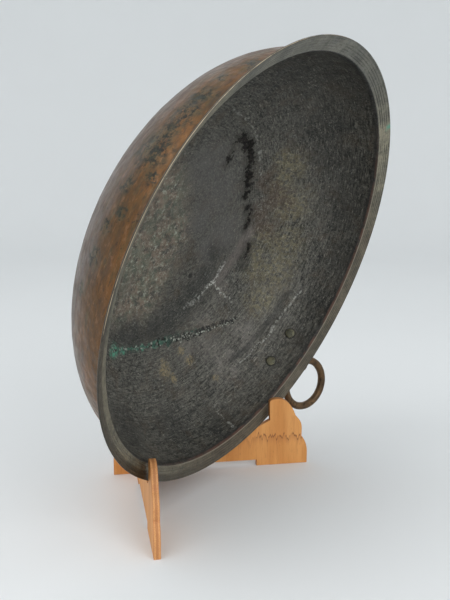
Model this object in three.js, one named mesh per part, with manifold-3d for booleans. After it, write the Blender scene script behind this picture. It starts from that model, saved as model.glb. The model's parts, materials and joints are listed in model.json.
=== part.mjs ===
// A hammered copper kettle bowl with a hanging ring handle, shown on its side on a two-board wooden stand.
// Millimetres, +Z up. The bowl's mouth faces -Y and looks a little downwards. The origin is on the
// ground under the middle of the object.
//
// Frames used below:
//   bowl frame    origin at the middle of the mouth, +Z out of the mouth, -Y towards the lip's lowest point
//   handle frame  the bowl frame turned about its Z, so that +X is radial and +Y runs along the rim
//   board frame   +X runs back along the board from its front tip, and +Z is up
import * as THREE from "three";
import { mergeVertices } from "three/addons/utils/BufferGeometryUtils.js";
import Module from "manifold-3d";

const degrees = THREE.MathUtils.degToRad;

// Bowl
const LIP_RADIUS = 300;
const LIP_WIDTH = 20;
const LIP_RISE = 8; // how far the lip's outer edge stands in front of its inner edge
const LIP_EDGE = 2.8; // thickness of the lip at its outer edge
const LIP_CORNER = 1; // chamfer where the lip turns into the wall
const LIP_ROOT = 1.6; // the lip's back meets the wall this far outside it
const BEND_DEPTH = 5; // the wall is straight from here, below the lip
const SHEET = 2.4; // thickness of the copper
const WALL_RADIUS = 281; // outside of the wall, just behind the lip
const BOWL_DEPTH = 174.3; // from the mouth to the outside of the bottom
const ROUNDNESS = 2.3; // exponent of the superellipse that the wall follows
const PAN_RADIUS = 176; // the seam between the side wall and the bottom pan
const MOUTH_TILT = degrees(18.25); // the mouth looks this far below level
const LIP_HEIGHT = 38; // the lip's lowest point above the ground

// Ring handle, its bracket and rivets. The lug is an outline of radius against -depth, measured
// from the eye's depth.
const HANDLE_ANGLE = degrees(49.5); // round the mouth from the lip's lowest point
const BRACKET_DEPTH = 46; // from the mouth to the middle of the bracket's plate
const PLATE = { length: 76, width: 21, thickness: 3.5 };
const EYE = { radius: 304.5, depth: 18, outer: 15.2, hole: 9.7, thickness: 6.6 };
const LUG = { front: [272, -13], frontBend: [285, -9], crownEnd: degrees(-80), backBend: [294, -28] };
const LUG_BACK = [
  [272, -38],
  [262, -38],
];
const PLATE_GAP = 0.5; // between the bracket and the curved wall
const RING = { radius: 38.2, wire: 6.2 };
const RING_SKEW = degrees(25.2); // the ring has slipped round in its eye by this much
const RIVET_ANGLE = degrees(5.8); // each rivet's place, to either side of the bracket's middle
const RIVET = { shank: 3, hole: 3.4, insideHead: 7, outsideHead: 6, headHeight: 2.8 };

// Stand: two boards, halved together behind the bowl
const BOARD = { length: 298, thickness: 8.8, front: 260.6, angle: degrees(45) }; // front: tip to crossing
const CROSSING_BEHIND = 125; // the crossing lies this far behind the lip's lowest point
const FOOT_LENGTH = 80;
const ARCH_HEIGHT = 9.5;
const CRADLE = { low: 103, height: 84.6, radius: 130, start: 87, end: 190 }; // an arc under the belly
const REAR_HEIGHT = 62;

// The board's edge as strokes to [distance back, height]: straight, or bent by a control point.
const FRONT_SCROLL = [
  { to: [0, 17] },
  { by: [0, 32], to: [9.4, 44] },
  { to: [9.4, 56] },
  { by: [9.6, 69.5], to: [19.5, 76.5] },
  { by: [29, 105.6], to: [49, 105.6] },
  { by: [60, 105.6], to: [61.5, 100.6] },
];
const LIP_NOTCH = [
  { to: [60.5, 72.2] },
  { to: [78, 63.2] },
  { by: [83, 63.2], to: [83, 68.2] },
  { to: [83, 81.6] },
];
const REAR_HORN = [
  { by: [198, 125.5], to: [203, 117] },
  { by: [212, 104], to: [212, 90] },
  { by: [213, 76], to: [225, 71] },
  { by: [234, 67], to: [240, REAR_HEIGHT] },
];
const REAR_END = [
  { to: [BOARD.length - 14, REAR_HEIGHT] },
  { by: [BOARD.length, REAR_HEIGHT], to: [BOARD.length, REAR_HEIGHT - 16] },
  { to: [BOARD.length, 0] },
];

const GAP = 0.3; // between pieces that touch
const HEAD_GAP = 0.9; // under a rivet's flat head, because the wall it sits on is curved
const FACETS = 72; // round the bowl

const COPPER = { color: 0x8a5636, roughness: 0.5, metalness: 0.9 };
const BRONZE = { color: 0x4a3c2c, roughness: 0.55, metalness: 0.8 };
const WOOD = { color: 0xd59a58, roughness: 0.6, metalness: 0 };

const wasm = await Module();
wasm.setup();

// ---------------------------------------------------------------- solids and meshes

function toSolid(geometry) {
  const bare = geometry.clone();
  bare.deleteAttribute("normal");
  bare.deleteAttribute("uv");
  const merged = mergeVertices(bare, 1e-4);
  return new wasm.Manifold(
    new wasm.Mesh({
      numProp: 3,
      vertProperties: new Float32Array(merged.attributes.position.array),
      triVerts: new Uint32Array(merged.index.array),
    }),
  );
}

function toGeometry(solid) {
  const mesh = solid.getMesh();
  const geometry = new THREE.BufferGeometry();
  geometry.setAttribute("position", new THREE.BufferAttribute(mesh.vertProperties, 3));
  geometry.setIndex(new THREE.BufferAttribute(mesh.triVerts, 1));
  geometry.computeVertexNormals();
  return geometry;
}

function piece(name, geometry, look) {
  const mesh = new THREE.Mesh(geometry, new THREE.MeshStandardMaterial(look));
  mesh.name = name;
  return mesh;
}

// A solid of revolution about Z, from a closed outline of [radius, depth] points.
// The outline runs clockwise when radius points right and depth points down.
function revolve(outline) {
  const points = outline.map(([radius, depth]) => new THREE.Vector2(radius, -depth));
  return new THREE.LatheGeometry(points, FACETS).rotateX(Math.PI / 2);
}

// Draws a curve, bent by a control point, to where an arc starts and then the arc, so that the two
// share one exact point.
function curveIntoArc(path, bend, { x, y, radius, from, to, clockwise }) {
  path.quadraticCurveTo(...bend, x + radius * Math.cos(from), y + radius * Math.sin(from));
  path.absarc(x, y, radius, from, to, clockwise);
}

function trace(path, strokes) {
  for (const { by, to } of strokes) {
    if (by) path.quadraticCurveTo(...by, ...to);
    else path.lineTo(...to);
  }
}

function extrude(outline, depth, curveSegments) {
  return new THREE.ExtrudeGeometry(outline, { depth, bevelEnabled: false, curveSegments });
}

// ---------------------------------------------------------------- the bowl's section

// A point of the section at phase 0 (mouth) to 90 degrees (middle of the bottom), and the outward
// normal there, both as [radius, depth].
function sectionAt(phase) {
  const radius = WALL_RADIUS * Math.cos(phase) ** (2 / ROUNDNESS);
  const depth = BOWL_DEPTH * Math.sin(phase) ** (2 / ROUNDNESS);
  const across = radius ** (ROUNDNESS - 1) / WALL_RADIUS ** ROUNDNESS;
  const down = depth ** (ROUNDNESS - 1) / BOWL_DEPTH ** ROUNDNESS;
  const size = Math.hypot(across, down);
  return { point: [radius, depth], normal: [across / size, down / size] };
}

const phaseAtRadius = (radius) => Math.acos((radius / WALL_RADIUS) ** (ROUNDNESS / 2));
const phaseAtDepth = (depth) => Math.asin((depth / BOWL_DEPTH) ** (ROUNDNESS / 2));

// Points along the section, moved outwards by offset.
function section(from, to, steps, offset) {
  return Array.from({ length: steps + 1 }, (_, i) => {
    const { point, normal } = sectionAt(from + ((to - from) * i) / steps);
    return [Math.max(0, point[0] + offset * normal[0]), point[1] + offset * normal[1]];
  });
}

// A closed band of revolution that follows the wall, between two offsets and two phases.
function band(from, to, steps, inner, outer) {
  const outside = section(from, to, steps, outer);
  const inside = section(from, to, steps, inner).reverse();
  return revolve([...outside, ...inside, outside[0]].reverse());
}

function sideWall() {
  const slope = LIP_RISE / LIP_WIDTH;
  const lipInside = LIP_RADIUS - LIP_WIDTH;
  const root = WALL_RADIUS + LIP_ROOT;
  const start = phaseAtDepth(LIP_RISE + BEND_DEPTH);
  const end = phaseAtRadius(PAN_RADIUS);
  return revolve(
    [
      [LIP_RADIUS, 0],
      [LIP_RADIUS, LIP_EDGE],
      [root, LIP_EDGE + (LIP_RADIUS - root) * slope],
      ...section(start, end, 12, 0),
      ...section(start, end, 12, -SHEET).reverse(),
      [lipInside - LIP_CORNER, LIP_RISE + LIP_CORNER],
      [lipInside + LIP_CORNER, LIP_RISE - LIP_CORNER * slope],
      [LIP_RADIUS, 0],
    ].reverse(),
  );
}

function bottomPan() {
  const start = phaseAtRadius(PAN_RADIUS - GAP);
  const outside = section(start, Math.PI / 2, 7, 0);
  const inside = section(start, Math.PI / 2, 7, -SHEET).reverse();
  outside.at(-1)[0] = 0;
  inside[0][0] = 0;
  return revolve([...outside, ...inside, outside[0]].reverse());
}

// ---------------------------------------------------------------- the bracket and its rivets

const plateSpot = sectionAt(phaseAtDepth(BRACKET_DEPTH));
const wallNormal = new THREE.Vector3(plateSpot.normal[0], 0, -plateSpot.normal[1]);
const wallPoint = new THREE.Vector3(plateSpot.point[0], 0, -plateSpot.point[1]);

// Places a geometry made along +Z so that its Z runs out of the wall at the bracket, at an angle
// round the rim.
function standOnWall(geometry, angle) {
  const around = new THREE.Vector3(0, 1, 0);
  const place = new THREE.Matrix4().makeBasis(around.clone().cross(wallNormal), around, wallNormal);
  place.setPosition(wallPoint);
  return geometry.applyMatrix4(place).applyMatrix4(new THREE.Matrix4().makeRotationZ(angle));
}

function rivetHole(angle) {
  const cutter = new THREE.CylinderGeometry(RIVET.hole, RIVET.hole, 40, 16).rotateX(Math.PI / 2);
  return toSolid(standOnWall(cutter, angle));
}

const rivetHoles = () => [rivetHole(-RIVET_ANGLE), rivetHole(RIVET_ANGLE)];

// The strap that lies on the wall: a long outline with round ends, bent to the wall's own curve.
function bracketPlate() {
  const straight = PLATE.length / 2 - PLATE.width / 2;
  const outline = new THREE.Shape();
  outline.absarc(0, straight, PLATE.width / 2, 0, Math.PI, false);
  outline.absarc(0, -straight, PLATE.width / 2, Math.PI, 2 * Math.PI, false);
  const block = extrude(outline, 30, 8).translate(0, 0, -15);
  const shell = band(phaseAtDepth(20), phaseAtDepth(80), 8, PLATE_GAP, PLATE_GAP + PLATE.thickness);
  return toSolid(standOnWall(block, 0)).intersect(toSolid(shell));
}

// The lug that rises from the strap and ends in the eye.
function bracketLug() {
  const atEye = ([radius, drop]) => [radius, drop - EYE.depth];
  const crown = { x: EYE.radius, y: -EYE.depth, radius: EYE.outer, clockwise: true };
  const outline = new THREE.Shape();
  outline.moveTo(...atEye(LUG.front));
  curveIntoArc(outline, atEye(LUG.frontBend), { ...crown, from: Math.PI, to: LUG.crownEnd });
  outline.quadraticCurveTo(...atEye(LUG.backBend), ...atEye(LUG_BACK[0]));
  outline.lineTo(...atEye(LUG_BACK[1]));
  const lug = extrude(outline, EYE.thickness, 14);
  lug.rotateX(Math.PI / 2).translate(0, EYE.thickness / 2, 0);
  const wall = band(phaseAtDepth(12), phaseAtDepth(100), 12, -30, PLATE_GAP);
  const hole = new THREE.CylinderGeometry(EYE.hole, EYE.hole, 2 * EYE.thickness, 28);
  hole.translate(EYE.radius, 0, -EYE.depth);
  return toSolid(lug).subtract(toSolid(wall)).subtract(toSolid(hole));
}

function bracket() {
  const whole = bracketPlate().add(bracketLug());
  return toGeometry(rivetHoles().reduce((solid, hole) => solid.subtract(hole), whole));
}

// One closed rivet: a flat domed head inside the bowl, the shank, and a smaller head on the strap.
function rivet(angle) {
  const inside = -SHEET - HEAD_GAP;
  const outside = PLATE.thickness + HEAD_GAP;
  const { shank, insideHead, outsideHead, headHeight } = RIVET;
  const outline = [
    [0, inside - headHeight],
    [0.6 * insideHead, inside - 0.85 * headHeight],
    [insideHead, inside - 0.3 * headHeight],
    [insideHead, inside],
    [shank, inside],
    [shank, outside],
    [outsideHead, outside],
    [outsideHead, outside + 0.3 * headHeight],
    [0.6 * outsideHead, outside + 0.85 * headHeight],
    [0, outside + headHeight],
  ];
  const points = outline.map(([radius, height]) => new THREE.Vector2(radius, height));
  return standOnWall(new THREE.LatheGeometry(points, 20).rotateX(Math.PI / 2), angle);
}

// ---------------------------------------------------------------- the stand

// A board's outline, from its front tip over the top to the rear end and back along the ground.
// The slot lets the other board in, from below or from above.
function boardOutline(slotFromBelow) {
  const slotFront = BOARD.front - BOARD.thickness / 2 - GAP;
  const slotBack = BOARD.front + BOARD.thickness / 2 + GAP;
  const slotEnd = (REAR_HEIGHT + (slotFromBelow ? GAP : -GAP)) / 2;
  const cradleAngle = (distance) => -Math.acos((distance - CRADLE.low) / CRADLE.radius);
  const shape = new THREE.Shape();
  shape.moveTo(0, 0);
  trace(shape, FRONT_SCROLL);
  trace(shape, LIP_NOTCH);
  curveIntoArc(shape, [LIP_NOTCH.at(-1).to[0], CRADLE.height + 0.6], {
    x: CRADLE.low,
    y: CRADLE.height + CRADLE.radius,
    radius: CRADLE.radius,
    from: cradleAngle(CRADLE.start),
    to: cradleAngle(CRADLE.end),
    clockwise: false,
  });
  trace(shape, REAR_HORN);
  if (!slotFromBelow) {
    shape.lineTo(slotFront, REAR_HEIGHT);
    shape.lineTo(slotFront, slotEnd);
    shape.lineTo(slotBack, slotEnd);
    shape.lineTo(slotBack, REAR_HEIGHT);
  }
  trace(shape, REAR_END);
  if (slotFromBelow) {
    shape.lineTo(slotBack, 0);
    shape.lineTo(slotBack, slotEnd);
    shape.lineTo(slotFront, slotEnd);
    shape.lineTo(slotFront, 0);
  }
  shape.lineTo(BOARD.length - FOOT_LENGTH, 0);
  shape.lineTo(BOARD.length - FOOT_LENGTH, ARCH_HEIGHT);
  shape.lineTo(FOOT_LENGTH, ARCH_HEIGHT);
  shape.lineTo(FOOT_LENGTH, 0);
  return shape;
}

// side is +1 for the board whose tip points to +X, and -1 for the other.
function board(name, side) {
  const geometry = extrude(boardOutline(side > 0), BOARD.thickness, 8);
  geometry.rotateX(Math.PI / 2).translate(-BOARD.front, BOARD.thickness / 2, 0);
  const mesh = piece(name, geometry, WOOD);
  mesh.position.y = CROSSING_BEHIND;
  mesh.rotation.z = Math.PI / 2 + side * BOARD.angle;
  return mesh;
}

// ---------------------------------------------------------------- assembly

function ringHandle() {
  const geometry = new THREE.TorusGeometry(RING.radius, RING.wire, 12, 48);
  const mesh = piece("ring_handle", geometry, BRONZE);
  mesh.position.set(RING.radius * Math.cos(RING_SKEW), -RING.radius * Math.sin(RING_SKEW), 0);
  return mesh;
}

function handle() {
  const group = new THREE.Group();
  group.rotation.z = HANDLE_ANGLE - Math.PI / 2;
  group.add(piece("handle_bracket", bracket(), BRONZE));
  group.add(piece("bracket_rivet_lower", rivet(-RIVET_ANGLE), BRONZE));
  group.add(piece("bracket_rivet_upper", rivet(RIVET_ANGLE), BRONZE));
  // The ring hangs in the upright plane that holds the rim's direction at the eye.
  const pivot = new THREE.Group();
  pivot.position.set(EYE.radius, 0, -EYE.depth);
  pivot.rotation.y = -Math.atan2(Math.sin(MOUTH_TILT), Math.cos(MOUTH_TILT) * Math.cos(HANDLE_ANGLE));
  pivot.add(ringHandle());
  group.add(pivot);
  return group;
}

function drilledWall() {
  const turn = new THREE.Matrix4().makeRotationZ(HANDLE_ANGLE - Math.PI / 2);
  const solid = rivetHoles().reduce(
    (wall, hole) => wall.subtract(toSolid(toGeometry(hole).applyMatrix4(turn))),
    toSolid(sideWall()),
  );
  return toGeometry(solid);
}

function bowl() {
  const group = new THREE.Group();
  group.position.set(0, -LIP_RADIUS * Math.sin(MOUTH_TILT), LIP_HEIGHT + LIP_RADIUS * Math.cos(MOUTH_TILT));
  group.rotation.x = Math.PI / 2 + MOUTH_TILT;
  group.add(piece("side_wall", drilledWall(), COPPER));
  group.add(piece("bottom_pan", bottomPan(), COPPER));
  group.add(handle());
  return group;
}

const object = new THREE.Group();
object.add(bowl());
object.add(board("stand_board_right", 1));
object.add(board("stand_board_left", -1));

// Stand the object on the ground with the middle of its plan on the origin.
object.updateMatrixWorld(true);
const middle = new THREE.Box3().setFromObject(object, true).getCenter(new THREE.Vector3());
object.position.set(-middle.x, -middle.y, 0);

export default object;
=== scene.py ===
"""Looks of a hammered copper kettle bowl that lies on its side in a two-board wooden stand.

Lengths are metres in the CAD frame: +Z up, the bowl's mouth towards -Y. Three local frames are used:
  bowl    origin at the middle of the mouth, Z out of the mouth, Y up along the mouth's plane
  wall    origin on the outside of the wall, Z out of the wall, Y round the rim
  board   origin where the two boards cross, X towards the rear end, Y across the board, Z up
A rim angle is measured round the bowl's axis from the lip's lowest point towards +X.
"""
import json
import math

import bpy
import numpy as np
from mathutils import Matrix, Quaternion, Vector, noise


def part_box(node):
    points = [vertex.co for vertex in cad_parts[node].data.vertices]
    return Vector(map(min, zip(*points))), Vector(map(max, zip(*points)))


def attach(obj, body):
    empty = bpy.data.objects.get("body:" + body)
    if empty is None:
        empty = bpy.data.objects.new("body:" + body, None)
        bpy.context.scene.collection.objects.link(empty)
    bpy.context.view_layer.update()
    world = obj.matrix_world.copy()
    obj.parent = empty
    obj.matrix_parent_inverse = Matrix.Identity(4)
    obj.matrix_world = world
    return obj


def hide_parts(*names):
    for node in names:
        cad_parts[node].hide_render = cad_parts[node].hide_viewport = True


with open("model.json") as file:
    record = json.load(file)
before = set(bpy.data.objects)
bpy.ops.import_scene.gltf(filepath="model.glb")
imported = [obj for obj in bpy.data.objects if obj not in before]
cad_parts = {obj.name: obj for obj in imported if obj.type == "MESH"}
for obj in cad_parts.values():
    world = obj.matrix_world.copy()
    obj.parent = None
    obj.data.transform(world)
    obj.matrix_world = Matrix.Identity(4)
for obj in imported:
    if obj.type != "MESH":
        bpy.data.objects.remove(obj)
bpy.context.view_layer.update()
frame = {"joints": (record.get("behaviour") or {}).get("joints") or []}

MM = 0.001

# The bowl's section, the same superellipse as in the CAD part
LIP_RADIUS = 300 * MM
LIP_WIDTH = 20 * MM
LIP_SLOPE = 0.4
LIP_EDGE = 2.8 * MM
SHEET = 2.4 * MM
WALL_RADIUS = 281 * MM
BOWL_DEPTH = 174.3 * MM
ROUNDNESS = 2.3
PAN_RADIUS = 176 * MM
PAN_GAP = 0.3 * MM
MOUTH_TILT = math.radians(18.25)
BEND_DEPTH = 13 * MM  # where the bend under the lip ends

# The handle's bracket and rivets
HANDLE_ANGLE = math.radians(49.5)
RIVET_ANGLE = math.radians(5.8)
BRACKET_DEPTH = 46 * MM
PLATE_LENGTH, PLATE_WIDTH, PLATE_THICKNESS = 76 * MM, 21 * MM, 3.5 * MM
PLATE_GAP = 0.5 * MM
EYE_RADIUS, EYE_DEPTH = 304.5 * MM, 18 * MM
EYE_OUTER, EYE_HOLE, EYE_THICKNESS = 15.2 * MM, 9.7 * MM, 6.6 * MM
RING_WIRE = 6.2 * MM

# The stand's boards, in mm. Places on a board are (distance back from its tip, height)
BOARD_LENGTH, BOARD_THICKNESS, BOARD_FRONT = 298, 8.8, 260.6
REAR_HEIGHT, FOOT_LENGTH, ARCH_HEIGHT = 62, 80, 9.5
CRADLE_LOW, CRADLE_HEIGHT, CRADLE_RADIUS = 103, 84.6, 130
CRADLE_START, CRADLE_END = 87, 190
SLOT_GAP = 0.3

AROUND = 576  # mesh steps round the bowl
HAMMER_BLOW, HAMMER_SWELL = 15 * MM, 60 * MM  # sizes of one blow and of the broad unevenness
random = np.random.default_rng(7)


def bowl_matrix():
    """The bowl's frame, placed from the CAD side wall's box."""
    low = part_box("side_wall")[0]
    centre = Vector((
        0,
        low.y + LIP_RADIUS * math.sin(MOUTH_TILT),
        low.z + LIP_RADIUS * math.cos(MOUTH_TILT),
    ))
    return Matrix.Translation(centre) @ Matrix.Rotation(math.pi / 2 + MOUTH_TILT, 4, "X")


BOWL = bowl_matrix()


def rim_turn(angle):
    """Turns a point made at the bowl frame's +X to a rim angle."""
    return Matrix.Rotation(angle - math.pi / 2, 4, "Z")


# -------------------- the bowl's section

def section_at(phase):
    """Point and outward normal of the section, as (radius, depth), at phase 0 (mouth) to 90 degrees."""
    radius = WALL_RADIUS * math.cos(phase) ** (2 / ROUNDNESS)
    depth = BOWL_DEPTH * math.sin(phase) ** (2 / ROUNDNESS)
    across = (radius / WALL_RADIUS) ** (ROUNDNESS - 1) / WALL_RADIUS
    down = (depth / BOWL_DEPTH) ** (ROUNDNESS - 1) / BOWL_DEPTH
    size = math.hypot(across, down)
    return (radius, depth), (across / size, down / size)


def phase_at_radius(radius):
    return math.acos((radius / WALL_RADIUS) ** (ROUNDNESS / 2))


def phase_at_depth(depth):
    return math.asin((depth / BOWL_DEPTH) ** (ROUNDNESS / 2))


def on_section(phase, offset):
    """A point of the section moved outwards by offset."""
    (radius, depth), (out, down) = section_at(phase)
    return max(0.0, radius + offset * out), depth + offset * down


def even_section(start, end, count, offset):
    """Points along the section, evenly spaced along its length."""
    samples = 401
    fine = np.array([on_section(phase, offset) for phase in np.linspace(start, end, samples)])
    run = np.concatenate([[0], np.cumsum(np.hypot(*np.diff(fine, axis=0).T))])
    wanted = np.linspace(0, run[-1], count)
    return np.column_stack([np.interp(wanted, run, fine[:, 0]), np.interp(wanted, run, fine[:, 1])])


def bend(a, control, b, count):
    """A quadratic curve from a to b."""
    t = np.linspace(0, 1, count)[:, None]
    return (1 - t) ** 2 * np.array(a) + 2 * t * (1 - t) * np.array(control) + t * t * np.array(b)


# -------------------- meshes

def add_object(name, data):
    made = bpy.data.objects.new(name, data)
    bpy.context.scene.collection.objects.link(made)
    return made


def make_mesh(name, points, faces, matrix, materials, material_index=None):
    """A smooth piece, from points in the matrix's frame. Each face has the first material, or its own."""
    mesh = bpy.data.meshes.new(name)
    mesh.from_pydata([tuple(p) for p in points], [], [tuple(f) for f in faces])
    mesh.transform(matrix)
    for material in materials:
        mesh.materials.append(material)
    if material_index is not None:
        mesh.polygons.foreach_set("material_index", np.asarray(material_index, np.int32))
    mesh.polygons.foreach_set("use_smooth", [True] * len(mesh.polygons))
    mesh.update()
    return add_object(name, mesh)


def shade_by_angle(piece, degrees):
    """Smooth shading, but sharp where faces meet at more than the angle."""
    piece.data.polygons.foreach_set("use_smooth", [True] * len(piece.data.polygons))
    piece.data.set_sharp_from_angle(angle=math.radians(degrees))


def full_turn(steps):
    """Angles once round, without the last one that would repeat the first."""
    return np.linspace(0, 2 * math.pi, steps, endpoint=False)


def grid_faces(rows, columns, closed_rows):
    """Quads of a grid whose columns go round and close, and whose rows close if closed_rows."""
    i = np.arange(rows if closed_rows else rows - 1)[:, None]
    j = np.arange(columns)[None, :]
    i2, j2 = (i + 1) % rows, (j + 1) % columns
    corners = [i * columns + j, i * columns + j2, i2 * columns + j2, i2 * columns + j]
    return np.stack([c.ravel() for c in np.broadcast_arrays(*corners)], axis=1)


def capped_faces(rows, columns):
    """Faces of a grid of open rows, with a fan at each end to a point. The two points follow the grid's."""
    first, last, end = rows * columns, rows * columns + 1, (rows - 1) * columns
    faces = grid_faces(rows, columns, False).tolist()
    faces += [(first, (j + 1) % columns, j) for j in range(columns)]
    faces += [(last, end + j, end + (j + 1) % columns) for j in range(columns)]
    return faces


def dimples(points, size):
    """Height of a hammered surface: each blow leaves a shallow dish, and dishes meet in ridges."""
    return np.array([noise.voronoi(Vector(p))[0][0] ** 2 for p in points / size])


def swell(points, size):
    return np.array([noise.noise(Vector(p)) for p in points / size])


def profile_normals(profile):
    ahead, behind = np.roll(profile, -1, axis=0), np.roll(profile, 1, axis=0)
    along = ahead - behind
    normals = np.column_stack([-along[:, 1], along[:, 0]])
    return normals / np.maximum(np.hypot(*normals.T), 1e-9)[:, None]


def spin(profile, around):
    """Points of a surface of revolution from (radius, depth), row by row, in the bowl frame."""
    turn = full_turn(around)
    radius, depth = profile[:, 0][:, None], profile[:, 1][:, None]
    flat = np.ones_like(turn)[None, :]
    return np.stack([radius * np.sin(turn), -radius * np.cos(turn), -depth * flat], axis=-1), turn


def bell(value, middle, width):
    """1 at the middle, falling off on both sides."""
    return np.exp(-((value - middle) / width) ** 2)


def crease(radius):
    """How far the sheet sinks at a radius, because the wall and the pan both dip towards their seam."""
    return 1.1 * MM * bell(radius, PAN_RADIUS - 4 * MM, 8 * MM)


def ridge(radius, turn):
    """How far the wall is pushed in along a low ridge that a dent left on the handle's side."""
    middle, radius_of_ridge = 53, 263 * MM
    reach = np.clip(1.6 - np.abs(np.degrees(turn) - middle) / 12, 0, 1)
    return 1.7 * MM * bell(radius, radius_of_ridge, 2.6 * MM) * reach


def sag(radius, depth, turn):
    """How much deeper the lip's inner edge sits on the upper left, where the lip is bent further in."""
    over_lip = np.clip((LIP_RADIUS - radius) / LIP_WIDTH, 0, 1)
    down_wall = np.clip(1 - (depth - BEND_DEPTH) / (45 * MM), 0, 1)
    upper_left = 243
    return 5.5 * MM * bell(np.degrees(turn), upper_left, 33) * over_lip * down_wall


def hammer(profile, blow_depth):
    """The bowl-frame points of a spun profile, beaten. blow_depth is one depth for each profile row."""
    points, turn = spin(profile, AROUND)
    normals = profile_normals(profile)
    flat = points.reshape(-1, 3)
    rows = np.repeat(np.asarray(blow_depth), AROUND)
    height = (dimples(flat, HAMMER_BLOW) - 0.25) * rows + swell(flat, HAMMER_SWELL) * 0.5 * rows
    height = height.reshape(points.shape[:2])
    radius, depth = profile[:, 0][:, None], profile[:, 1][:, None]
    out = normals[:, 0][:, None] * height - ridge(radius, turn)
    down = normals[:, 1][:, None] * height + crease(radius) + sag(radius, depth, turn)
    points[..., 0] += out * np.sin(turn)
    points[..., 1] -= out * np.cos(turn)
    points[..., 2] -= down
    return points


# -------------------- materials

def linear(red, green, blue):
    """A colour from its 0-255 sRGB values."""
    def one(value):
        value /= 255
        return value / 12.92 if value <= 0.04045 else ((value + 0.055) / 1.055) ** 2.4
    return (one(red), one(green), one(blue), 1.0)


def rim_place(degrees, radius=None, depth=None):
    """A point on the inside of the bowl, in the bowl frame, from its rim angle and radius or depth in mm."""
    phase = phase_at_radius(radius * MM) if radius is not None else phase_at_depth(depth * MM)
    r, d = on_section(phase, -SHEET)
    turn = math.radians(degrees)
    return (r * math.sin(turn), -r * math.cos(turn), -d)


def placed(places):
    return [(rim_place(angle, radius), size * MM) for angle, radius, size in places]


class Field:
    """A value that differs over a surface: a node's output. Arithmetic with it adds maths nodes."""

    def __init__(self, look, socket):
        self.look = look
        self.socket = socket

    def __add__(self, other):
        return self.look.math("ADD", self, other)

    def __sub__(self, other):
        return self.look.math("SUBTRACT", self, other)

    def __mul__(self, other):
        return self.look.math("MULTIPLY", self, other)

    def __abs__(self):
        return self.look.math("ABSOLUTE", self)

    def least(self, other):
        return self.look.math("MINIMUM", self, other)

    def ramp(self, low, high, to_low=0.0, to_high=1.0):
        """A smooth change from to_low, where the value is low, to to_high, where it is high."""
        ends = {"Value": self, "From Min": low, "From Max": high, "To Min": to_low, "To Max": to_high}
        return self.look.node("ShaderNodeMapRange", ends, interpolation_type="SMOOTHSTEP")


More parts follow.
